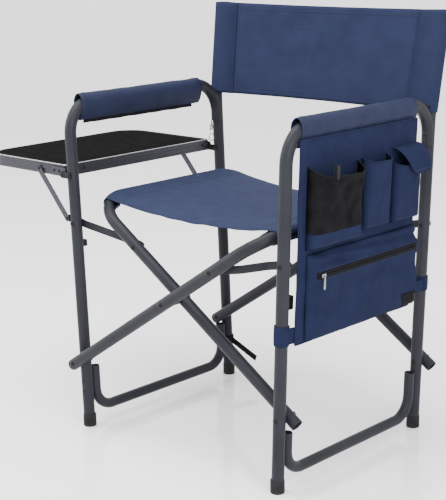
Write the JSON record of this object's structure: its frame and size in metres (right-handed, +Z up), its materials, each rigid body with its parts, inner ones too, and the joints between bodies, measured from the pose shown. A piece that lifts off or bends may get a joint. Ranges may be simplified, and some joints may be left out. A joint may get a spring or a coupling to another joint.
{
  "type": "folding camp chair",
  "caption": "Folding director's chair of bent steel tube with a sling seat and back, padded arms, a drop-down side table and an organiser bag.",
  "frame": {"origin": "on the floor, at the centre of the footprint of the whole chair with its table up", "axes": "+X to the right as seen from the front, +Y to the back, +Z up"},
  "size_m": [0.9424, 0.5406, 0.893],
  "materials": {
    "steel_tube": "satin charcoal powder coat",
    "bolt_steel": "plain steel",
    "rubber": "matte",
    "black_plastic": "fine moulded texture",
    "navy_cloth": "plain weave",
    "black_webbing": "woven tape",
    "black_mesh": "open mesh",
    "table_board": "matte laminate",
    "edge_metal": "satin extrusion",
    "bright_metal": "bright plated"
  },
  "bodies": {
    "left_frame": {"left_side_tube": "steel_tube", "left_rear_post": "steel_tube", "left_floor_rail": "steel_tube", "left_front_foot": "rubber", "left_rear_foot": "rubber", "left_front_pivot_bolt": "bolt_steel", "left_rear_pivot_bolt": "bolt_steel", "left_arm_pad": "navy_cloth", "left_arm_closure": "black_webbing", "left_back_sleeve": "navy_cloth", "left_leg_knob": "black_plastic", "front_table_bracket": "black_plastic", "rear_table_bracket": "black_plastic", "front_strut_lug": "black_plastic", "rear_strut_lug": "black_plastic", "closure_strap": "black_webbing", "back_panel": "navy_cloth"},
    "front_cross": {"front_cross_tube": "steel_tube", "right_seat_sleeve": "navy_cloth", "centre_front_bolt": "bolt_steel", "centre_rear_bolt": "bolt_steel", "centre_front_spacer": "black_plastic", "centre_rear_spacer": "black_plastic"},
    "rear_cross": {"rear_cross_tube": "steel_tube", "left_seat_sleeve": "navy_cloth", "seat_panel": "navy_cloth"},
    "right_frame": {"right_side_tube": "steel_tube", "right_rear_post": "steel_tube", "right_floor_rail": "steel_tube", "right_front_foot": "rubber", "right_rear_foot": "rubber", "right_front_pivot_bolt": "bolt_steel", "right_rear_pivot_bolt": "bolt_steel", "right_arm_pad": "navy_cloth", "right_back_sleeve": "navy_cloth", "right_leg_knob": "black_plastic", "bag_panel": "navy_cloth", "mesh_pocket": "black_mesh", "middle_pocket": "navy_cloth", "flap_pocket": "navy_cloth", "zip_pocket": "navy_cloth", "zip_tape": "black_webbing", "front_bag_strap": "navy_cloth", "rear_bag_strap": "navy_cloth", "lanyard_clip": "black_plastic"},
    "left_front_link": {"left_front_link": "steel_tube"},
    "left_rear_link": {"left_rear_link": "steel_tube"},
    "right_front_link": {"right_front_link": "steel_tube"},
    "right_rear_link": {"right_rear_link": "steel_tube"},
    "table": {"table_edge": "edge_metal", "table_board": "table_board", "front_hinge_plate": "edge_metal", "rear_hinge_plate": "edge_metal"},
    "front_strut": {"front_strut": "edge_metal"},
    "rear_strut": {"rear_strut": "edge_metal"},
    "pocket_flap": {"pocket_flap": "navy_cloth"},
    "zip_slider": {"zip_slider": "bright_metal"},
    "zip_pull": {"zip_pull": "bright_metal"},
    "snap_hook": {"snap_hook": "bright_metal"},
    "split_ring": {"split_ring": "bright_metal"}
  },
  "joints": [
    {"name": "fold", "type": "hinge", "parent": "left_frame", "child": "front_cross", "pos_m": [-0.16592, -0.22822, 0.1495], "axis": [0, -1, 0], "range_deg": [0, 35], "deforming": ["seat_panel", "back_panel"]},
    {"name": "cross_pivot", "type": "hinge", "parent": "front_cross", "child": "rear_cross", "pos_m": [0.11076, -0.22822, 0.33263], "axis": [0, -1, 0], "range_deg": [-70, 0], "deforming": ["seat_panel", "back_panel"]},
    {"name": "right_fold", "type": "hinge", "parent": "rear_cross", "child": "right_frame", "pos_m": [0.38744, -0.22822, 0.1495], "axis": [0, -1, 0], "range_deg": [0, 35], "deforming": ["seat_panel", "back_panel"]},
    {"name": "left_front_link_pivot", "type": "hinge", "parent": "left_frame", "child": "left_front_link", "pos_m": [-0.17746, -0.21522, 0.453], "axis": [0, -1, 0], "range_deg": [0, 76]},
    {"name": "left_rear_link_pivot", "type": "hinge", "parent": "left_frame", "child": "left_rear_link", "pos_m": [-0.17746, 0.23778, 0.453], "axis": [0, -1, 0], "range_deg": [0, 76]},
    {"name": "right_front_link_pivot", "type": "hinge", "parent": "right_frame", "child": "right_front_link", "pos_m": [0.39897, -0.21522, 0.453], "axis": [0, -1, 0], "range_deg": [-76, 0]},
    {"name": "right_rear_link_pivot", "type": "hinge", "parent": "right_frame", "child": "right_rear_link", "pos_m": [0.39897, 0.23778, 0.453], "axis": [0, -1, 0], "range_deg": [-76, 0]},
    {"name": "table_hinge", "type": "hinge", "parent": "left_frame", "child": "table", "pos_m": [-0.20124, -0.01422, 0.557], "axis": [0, -1, 0], "range_deg": [0, 90]},
    {"name": "front_strut_pivot", "type": "hinge", "parent": "left_frame", "child": "front_strut", "pos_m": [-0.19424, -0.23852, 0.463], "axis": [0, -1, 0], "range_deg": [0, 134]},
    {"name": "rear_strut_pivot", "type": "hinge", "parent": "left_frame", "child": "rear_strut", "pos_m": [-0.19424, 0.18278, 0.463], "axis": [0, -1, 0], "range_deg": [0, 134]},
    {"name": "pocket_flap_hinge", "type": "hinge", "parent": "right_frame", "child": "pocket_flap", "pos_m": [0.42954, 0.10578, 0.63865], "axis": [0, -1, 0], "range_deg": [0, 85]},
    {"name": "zip_slide", "type": "slide", "parent": "right_frame", "child": "zip_slider", "axis": [0, 1, 0], "range_m": [0, 0.29]},
    {"name": "zip_pull_swing", "type": "hinge", "parent": "zip_slider", "child": "zip_pull", "pos_m": [0.44272, -0.16022, 0.42699], "axis": [0, -1, 0], "range_deg": [0, 150]},
    {"name": "snap_hook_swing", "type": "hinge", "parent": "left_frame", "child": "snap_hook", "pos_m": [-0.1834, 0.20128, 0.625], "axis": [-1, 0, 0], "range_deg": [0, 60]},
    {"name": "split_ring_swing", "type": "hinge", "parent": "snap_hook", "child": "split_ring", "pos_m": [-0.1824, 0.20028, 0.5932], "axis": [0, 1, 0], "range_deg": [-35, 35]}
  ],
  "couplings": [
    {"joint": "cross_pivot", "follows": "fold", "ratio": -2},
    {"joint": "right_fold", "follows": "fold", "ratio": 1},
    {"joint": "left_front_link_pivot", "follows": "fold", "ratio": 2.168},
    {"joint": "left_rear_link_pivot", "follows": "fold", "ratio": 2.168},
    {"joint": "right_front_link_pivot", "follows": "fold", "ratio": -2.168},
    {"joint": "right_rear_link_pivot", "follows": "fold", "ratio": -2.168},
    {"joint": "front_strut_pivot", "follows": "table_hinge", "ratio": 1.483},
    {"joint": "rear_strut_pivot", "follows": "table_hinge", "ratio": 1.483}
  ]
}
